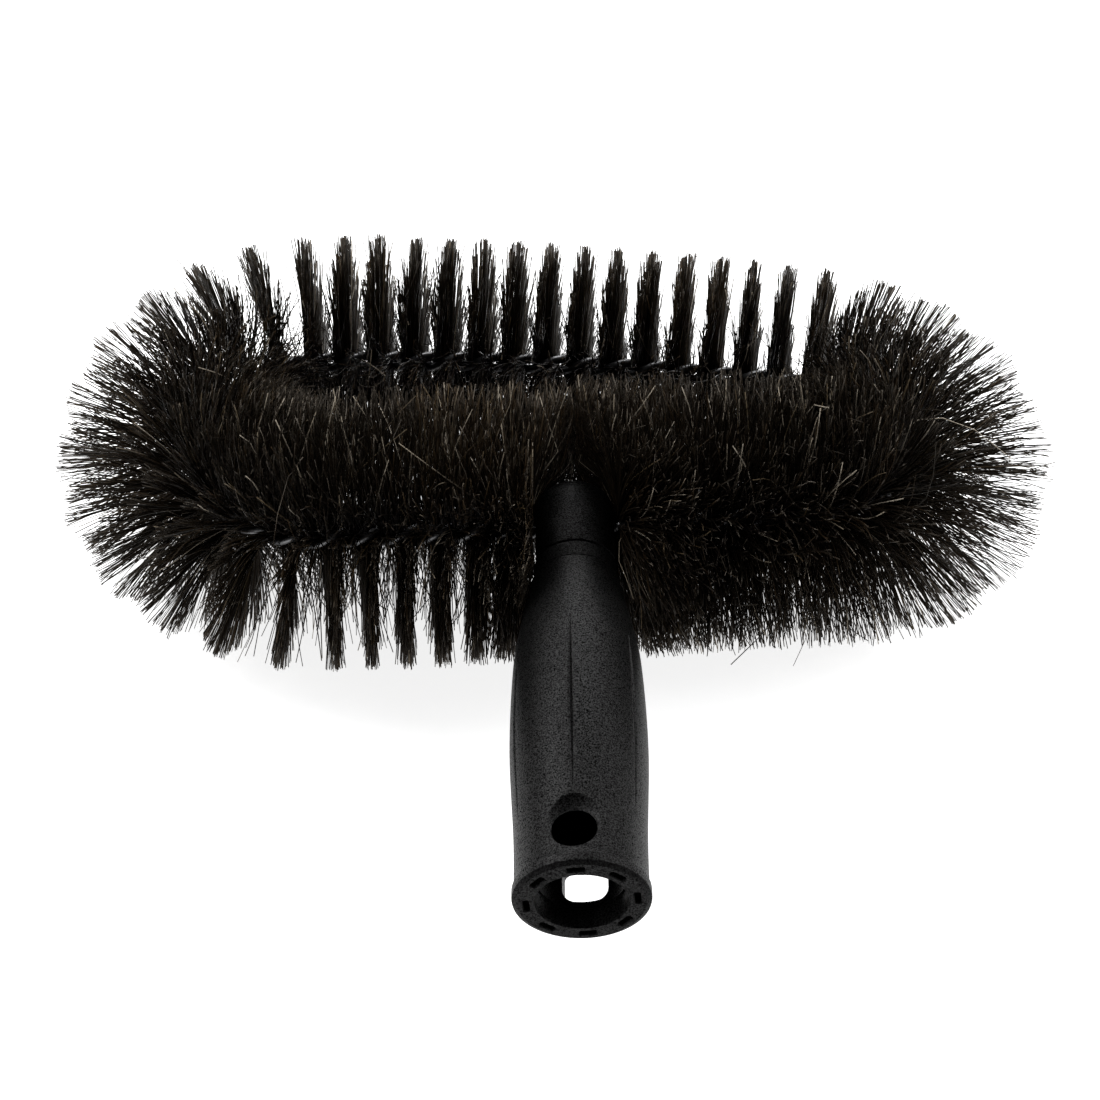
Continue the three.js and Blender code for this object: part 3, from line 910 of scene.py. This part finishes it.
def strand_piece(stem, name, node, side):
    """One wire strand as a tube round its helix."""
    distances = np.linspace(0, stem.length, int(stem.length / STRAND_STEP))
    centre, tangent, inward = stem.at(distances)
    angle = (hair_angle(distances) + side * math.pi / 2)[:, None]
    radial = np.cos(angle) * inward + np.sin(angle) * UP
    line = centre + STRAND_OFFSET * radial
    along = np.gradient(line, axis=0)
    along /= np.linalg.norm(along, axis=1)[:, None]
    across = np.cross(along, radial)
    across /= np.linalg.norm(across, axis=1)[:, None]
    around = full_turn(STRAND_SIDES)[None, :, None]
    rings = line[:, None] + STRAND_RADIUS * (
        np.cos(around) * radial[:, None] + np.sin(around) * across[:, None])
    mesh = prism_mesh(list(rings))
    mesh.name = name
    smooth(mesh, STRAND_SHARP_DEG)
    steel = drawn_steel(name + "_steel", WIRE_TONES, roughness=(0.24, 0.44))
    add_piece(name, mesh, steel, [node])


# ---- Hair ----

def smoothstep(x, low, high):
    t = np.clip((x - low) / (high - low), 0, 1)
    return t * t * (3 - 2 * t)


def keep_clear_of_socket(points):
    """Moves hair out of the socket, core and cap.

    Above the stem's plane it also stays on its root's side of the socket's middle plane.
    """
    outline = np.vstack([
        barrel_profile(),
        [[SOCKET_TOP, BARREL_STATIONS[-1, 1]]],
        [[SOCKET_TOP + EDGE_EASE, NECK_RADIUS], [CAP_BOTTOM - EDGE_EASE, NECK_RADIUS]],
        [[CAP_BOTTOM, CAP_RADIUS], [CAP_DOME_START, CAP_RADIUS]],
        [[CAP_TOP - CAP_CROWN_HEIGHT, CAP_CROWN_SHARE * CAP_RADIUS], [CAP_TOP, 0]],
    ])
    limit = np.interp(points[..., 1] - MOUTH_Y, outline[:, 0], outline[:, 1], right=0) + HAIR_GAP
    limit[points[..., 1] > MOUTH_Y + CAP_TOP + FIT_GAP] = 0
    root_side = np.sign(points[:, :1, 0])
    clear = (points[..., 0] ** PARTING_POWER + limit**PARTING_POWER) ** (1 / PARTING_POWER)
    above = smoothstep(points[..., 2], *PARTING_BLEND)
    points[..., 0] += above * (root_side * clear - points[..., 0])
    out = np.hypot(points[..., 0], points[..., 2])
    grow = np.where(out < limit, limit / np.maximum(out, TINY), 1)
    points[..., 0] *= grow
    points[..., 2] *= grow


def crowding(centre, inward, angle):
    """How far hair is pushed out of its fans, from 0 to 1.

    That is most inside the loop, right of the socket on the near side, where hair stands up
    on the near side, and where it hangs down on the far side.
    """
    near_side = smoothstep(inward[:, 1], *SIDE_NORMAL)
    far_side = smoothstep(-inward[:, 1], *SIDE_NORMAL)
    raised_far = far_side * smoothstep(np.sin(angle), *RAISED_FAR)
    inside = smoothstep(np.cos(angle), *INSIDE_CROWDED) * (1 - raised_far)
    beside_socket = near_side * smoothstep(centre[:, 0], *BESIDE_SOCKET_X)
    on_top = near_side * smoothstep(np.sin(angle), *STANDING)
    below = far_side * smoothstep(-np.sin(angle), *STANDING)
    return np.max([inside, BESIDE_SOCKET_CROWD * beside_socket, on_top, below], axis=0)


class Hair:
    """All of the hair as centre lines, one row of points for each hair."""

    def __init__(self, stem):
        self.rng = np.random.default_rng(SEED)
        self.place_roots(stem)
        self.aim()
        self.form_locks()
        self.set_lengths()
        self.lay_out()
        self.part_at_socket()
        self.colour()

    def scatter(self, amount):
        """A random value for each hair, spread by the amount."""
        return amount * self.rng.normal(0, 1, self.count)

    def shared(self, amount, group):
        """A random value for each group, which all of its hairs share."""
        return self.rng.normal(0, amount, group.max() + 1)[group]

    def crowded(self, pair):
        """The pair's first value where hair stands free, plus its second at full crowding."""
        free, added = pair
        return free + added * self.crowd

    def place_roots(self, stem):
        """Even roots along the stem, and extra ones just outside the cap, at both its ends."""
        span = stem.length - 2 * HAIR_START
        even = int(HAIRS_PER_TUFT * span / HALF_TURN)
        root = HAIR_START + span * (np.arange(even) + self.rng.random(even)) / even
        extra = int(NEAR_CAP_SHARE * even)
        beyond = np.clip(self.rng.exponential(NEAR_CAP_REACH, extra), 0, span)
        from_left = self.rng.random(extra) < 0.5
        root = np.concatenate([root, HAIR_START + np.where(from_left, beyond, span - beyond)])
        self.count = len(root)
        side = self.rng.integers(0, 2, self.count)
        self.centre, self.tangent, self.inward = stem.at(root)
        self.stray = self.rng.random(self.count) < STRAY_SHARE
        self.spread = np.where(self.stray, STRAY_SPREAD, 1.0)
        self.angle = hair_angle(root) + math.pi * side
        first = stem.length / 2 - HALF_TURN * (len(TUFT_NAMES) - 1) / 2
        self.tuft = np.clip(np.round((root - first) / HALF_TURN), 0, len(TUFT_NAMES) - 1)

    def aim(self):
        """Sets how crowded each hair is, which way it leaves the stem and what fan it is in."""
        near_cap = np.exp(-(np.abs(self.centre[:, 0]) - CAP_RADIUS) / NEAR_CAP_REACH)
        self.near_cap = np.clip(near_cap, 0, 1) * (self.centre[:, 1] < LOOP_MIDDLE_Y)
        self.crowd = np.maximum(crowding(self.centre, self.inward, self.angle), self.near_cap)
        self.angle += self.scatter(self.crowded(ROOT_TURN))

        lean = np.array([0.0, math.sin(FAN_LEAN), math.cos(FAN_LEAN)])
        fan_middle = np.arctan2(lean[2], self.inward @ lean)
        turns = np.round((self.angle - fan_middle) / math.pi)
        past_middle = self.angle - fan_middle - turns * math.pi
        self.fan_offset = past_middle / (2 * math.pi) * TWIST_PITCH
        self.fan = (turns - turns.min()).astype(int)
        self.fan_shift = self.shared(FAN_SHIFT, self.fan)

    def form_locks(self):
        """Gathers hairs into locks, which share a little of each other's direction."""
        lock = np.floor(self.angle / LOCK_WIDTH + self.scatter(LOCK_BLUR)).astype(int)
        self.lock_middle = (lock + 0.5) * LOCK_WIDTH
        self.lock = lock - lock.min()
        self.lock_shift = self.shared(LOCK_SHIFT, self.lock)
        self.lock_turn = self.shared(LOCK_TURN, self.lock)
        self.lock_trim = np.abs(self.shared(LOCK_TRIM, self.lock))
        self.gather = self.rng.uniform(*LOCK_GATHER, self.count)

    def set_lengths(self):
        """Sets each hair's points by their distance from the stem.

        Hair is longest at the loop's two ends, most of all at the right one's near corner, and
        inside the loop, where it slants up or down out of the loop's plane.
        """
        outward = np.minimum(np.cos(self.angle), 0)[:, None] * self.inward
        rightward = np.maximum(outward[:, 0], 0)
        near = np.maximum(-outward[:, 1], 0)
        far = np.maximum(outward[:, 1], 0)
        slanting = np.maximum(np.cos(self.angle), 0) * np.abs(np.sin(self.angle))
        growth = (END_GROWTH * outward[:, 0] ** 2 + RIGHT_GROWTH * rightward**2
                  + CORNER_GROWTH * 2 * rightward * near + NEAR_GROWTH * near
                  + (FAR_GROWTH - FAR_SLOPE * self.centre[:, 0]) * far
                  + INNER_GROWTH * 2 * slanting)
        uneven = np.abs(self.scatter(TRIM_SPREAD))
        short = self.rng.random(self.count) < SHORT_SHARE
        missing = np.where(short, self.rng.uniform(*SHORT_BY, self.count), 0)
        trimmed = self.lock_trim * self.crowded(TRIM_SCALE) - growth + uneven + missing
        reach = np.linspace(0, 1, HAIR_POINTS)
        self.radius = HAIR_FOOT + (HAIR_RADIUS - trimmed - HAIR_FOOT)[:, None] * reach
        self.share = self.radius / HAIR_RADIUS

    def lay_out(self):
        """Runs each hair out from the stem, drawn into its fan and lock, with a slight wave."""
        radius, share = self.radius, self.share
        wave_count = self.rng.uniform(*WAVES, self.count)[:, None]
        wave_start = self.rng.uniform(0, 2 * math.pi, self.count)[:, None]
        wave = np.sin(share * wave_count + wave_start)

        closing = ((ROOT_CLOSING + ADDED_CLOSING * smoothstep(radius, *ADDED_CLOSING_RADII))
                   * self.crowded(CLOSING_SCALE)[:, None])
        tangled = self.crowd * self.rng.uniform(-HALF_TURN / 2, HALF_TURN / 2, self.count)
        middle_shift = (self.scatter(self.crowded(MIDDLE_SHIFT)) * self.spread
                        + self.fan_shift + self.lock_shift)
        tip_shift = self.scatter(self.crowded(TIP_SHIFT)) * self.spread
        wave_shift = self.scatter(self.crowded(WAVE_SHIFT))
        shift = (-closing * self.fan_offset[:, None]
                 + tangled[:, None] * smoothstep(radius, *TANGLE_RADII)
                 + share * middle_shift[:, None]
                 + share**2 * tip_shift[:, None]
                 + share * wave * wave_shift[:, None])

        lock_turn = (self.gather * (self.lock_middle - self.angle) * self.crowded(GATHER_SCALE)
                     + self.lock_turn * self.crowded(LOCK_TURN_SCALE))
        middle_turn = self.scatter(MIDDLE_TURN) * self.spread
        tip_turn = self.scatter(self.crowded(TIP_TURN)) * self.spread
        wave_turn = self.scatter(WAVE_TURN)
        turn = (self.angle[:, None]
                + share**LOCK_POWER * lock_turn[:, None]
                + share * middle_turn[:, None]
                + share**2 * tip_turn[:, None]
                + share * wave * wave_turn[:, None])[..., None]
        self.points = (
            self.centre[:, None] + shift[..., None] * self.tangent[:, None]
            + radius[..., None] * (np.cos(turn) * self.inward[:, None] + np.sin(turn) * UP))

    def part_at_socket(self):
        """Outside the loop the socket pushes hair aside, and inside it hair closes over the cap."""
        x = self.centre[:, 0]
        side_of_socket = np.sign(x) * (self.centre[:, 1] < LOOP_MIDDLE_Y)
        inside = smoothstep(np.cos(self.angle), *INSIDE_LOOP)
        aside = np.where(side_of_socket > 0, ASIDE_RIGHT, ASIDE_LEFT) * self.near_cap
        over_cap = OVER_CAP * np.exp(-(np.abs(x) - CAP_RADIUS) / OVER_CAP_REACH)
        bend = side_of_socket * self.rng.uniform(*BEND_RANGE, self.count)
        push = bend * (1 - inside) * aside
        pull = bend * inside * over_cap
        self.points[..., 0] += (self.share**ASIDE_POWER * push[:, None]
                                - self.share**OVER_CAP_POWER * pull[:, None])
        keep_clear_of_socket(self.points)
        self.points[..., 2] = np.clip(self.points[..., 2], FLOOR_Z + HAIR_FLOOR_GAP, None)

    def colour(self):
        """Sets each hair's tone, gloss, thickness and how its sides are turned."""
        rng, count = self.rng, self.count
        tone = TONE_SCALE * rng.beta(*TONE_SHAPE, count)
        tone += FAN_TONE * self.shared(1, self.fan)
        tone += LOCK_TONE * self.shared(1, self.lock)
        # Pale hairs are partly real pale hair and partly painted glints: more of them where hair is
        # crowded, and more among strays, as painted highlights where they catch the light.
        pale_glint_share = np.where(self.stray, STRAY_PALE_GLINT_SHARE, self.crowded(PALE_AND_GLINT_SHARE))
        pale = rng.random(count) < pale_glint_share
        self.tone = np.where(pale, rng.uniform(DARKEST_PALE, 1, count),
                             np.clip(tone, 0, PALEST_DARK))
        glossy = rng.random(count) < GLOSSY_SHARE
        self.gloss = np.where(glossy, rng.uniform(*GLOSSY, count), rng.uniform(*DULL, count))
        self.thickness = rng.uniform(*HAIR_THICKNESS, count)
        self.spin = rng.uniform(0, 2 * math.pi, count)

    def tuft_mesh(self, index):
        """Thin tapered tubes round the centre lines of one tuft's hair."""
        rows = np.flatnonzero(self.tuft == index)
        line = self.points[rows]
        along = np.gradient(line, axis=1)
        along /= np.linalg.norm(along, axis=2)[..., None]
        guide = np.where(np.abs(along[..., 2:]) > STEEP, np.array([1.0, 0, 0]), UP)
        across = np.cross(along, guide)
        across /= np.linalg.norm(across, axis=2)[..., None]
        other = np.cross(along, across)
        radius = np.linspace(HAIR_ROOT_RADIUS, HAIR_TIP_RADIUS, HAIR_POINTS)
        radius = (radius * self.thickness[rows][:, None])[..., None, None]
        around = 2 * math.pi * np.arange(HAIR_SIDES) / HAIR_SIDES
        around = (around + self.spin[rows][:, None])[:, None, :, None]
        rings = line[:, :, None] + radius * (
            np.cos(around) * across[:, :, None] + np.sin(around) * other[:, :, None])
        per_hair = HAIR_POINTS * HAIR_SIDES
        start = (np.arange(len(rows)) * per_hair)[:, None, None]
        quads = (grid_faces(HAIR_POINTS, HAIR_SIDES)[None] + start).reshape(-1, 4)
        corners = np.arange(HAIR_SIDES)
        ends = np.array([corners[::-1], per_hair - HAIR_SIDES + corners])
        caps = (ends[None] + start).reshape(-1, HAIR_SIDES)
        mesh = bpy.data.meshes.new(TUFT_NAMES[index] + "_hair")
        mesh.from_pydata(rings.reshape(-1, 3).tolist(), [], quads.tolist() + caps.tolist())
        for name, values in (("tone", self.tone), ("gloss", self.gloss)):
            layer = mesh.attributes.new(name, "FLOAT", "POINT")
            layer.data.foreach_set("value", np.repeat(values[rows], per_hair).astype(np.float32))
        mesh.shade_smooth()
        return mesh


# ---- The studio ----

def add_floor():
    mesh = bpy.data.meshes.new("floor")
    corners = [(FLOOR_HALF * x, FLOOR_HALF * y, FLOOR_Z)
               for x, y in ((-1, -1), (1, -1), (1, 1), (-1, 1))]
    mesh.from_pydata(corners, [], [(0, 1, 2, 3)])
    mesh.materials.append(studio_floor())
    floor = bpy.data.objects.new("floor", mesh)
    bpy.context.scene.collection.objects.link(floor)


def add_area_light(name, place, size, power):
    light = bpy.data.lights.new(name, "AREA")
    light.shape = "RECTANGLE"
    light.size, light.size_y = size
    light.energy = power
    lamp = bpy.data.objects.new(name, light)
    lamp.location = place
    direction = Vector(LIGHT_AIM) - Vector(place)
    lamp.rotation_euler = direction.to_track_quat("-Z", "Y").to_euler()
    bpy.context.scene.collection.objects.link(lamp)


def add_surroundings():
    """Even light all round, fading to almost none above the front, where there is no panel."""
    world = bpy.data.worlds.new("studio")
    world.use_nodes = True
    tree = world.node_tree
    background = tree.nodes["Background"]
    background.inputs["Color"].default_value = (1, 1, 1, 1)
    direction = tree.nodes.new("ShaderNodeTexCoord")
    towards_dark = tree.nodes.new("ShaderNodeVectorMath")
    towards_dark.operation = "DOT_PRODUCT"
    towards_dark.inputs[1].default_value = TOWARDS_DARK
    tree.links.new(direction.outputs["Generated"], towards_dark.inputs[0])
    strength = tree.nodes.new("ShaderNodeMapRange")
    strength.interpolation_type = "SMOOTHSTEP"
    for name, value in zip(("From Min", "From Max", "To Min", "To Max"),
                           (*DARK_EDGES, *SURROUNDINGS)):
        strength.inputs[name].default_value = value
    tree.links.new(towards_dark.outputs["Value"], strength.inputs["Value"])
    tree.links.new(strength.outputs["Result"], background.inputs["Strength"])
    bpy.context.scene.world = world


def add_studio():
    add_surroundings()
    for light in LIGHTS:
        add_area_light(*light)
    bpy.context.scene.view_settings.view_transform = "Standard"


def add_camera():
    camera = bpy.data.cameras.new("camera")
    camera.sensor_width = CAMERA_SENSOR
    camera.lens = CAMERA_LENS
    eye = bpy.data.objects.new("camera", camera)
    eye.matrix_world = (
        Matrix.Translation(CAMERA_PLACE)
        @ Matrix.Rotation(-CAMERA_YAW, 4, "Z")
        @ Matrix.Rotation(math.pi / 2 - CAMERA_PITCH, 4, "X")
        @ Matrix.Rotation(CAMERA_ROLL, 4, "Z"))
    bpy.context.scene.collection.objects.link(eye)
    bpy.context.scene.camera = eye


# ---- Assembly ----

socket_piece()
core_piece()
cap_piece()
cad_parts["crimp_ferrule"].data.materials[0] = drawn_steel(
    "ferrule_zinc", ZINC_TONES, roughness=(0.35, 0.55))

stem = Stem()
strand_piece(stem, "stem_wire_a", "wire_strand_a", 1)
strand_piece(stem, "stem_wire_b", "wire_strand_b", -1)

hair = Hair(stem)
hair_material = horsehair("horsehair")
for number, tuft_name in enumerate(TUFT_NAMES):
    add_piece(tuft_name.replace("bristle_tuft", "hair_fan"), hair.tuft_mesh(number),
              hair_material, [tuft_name])

add_floor()
add_studio()
add_camera()
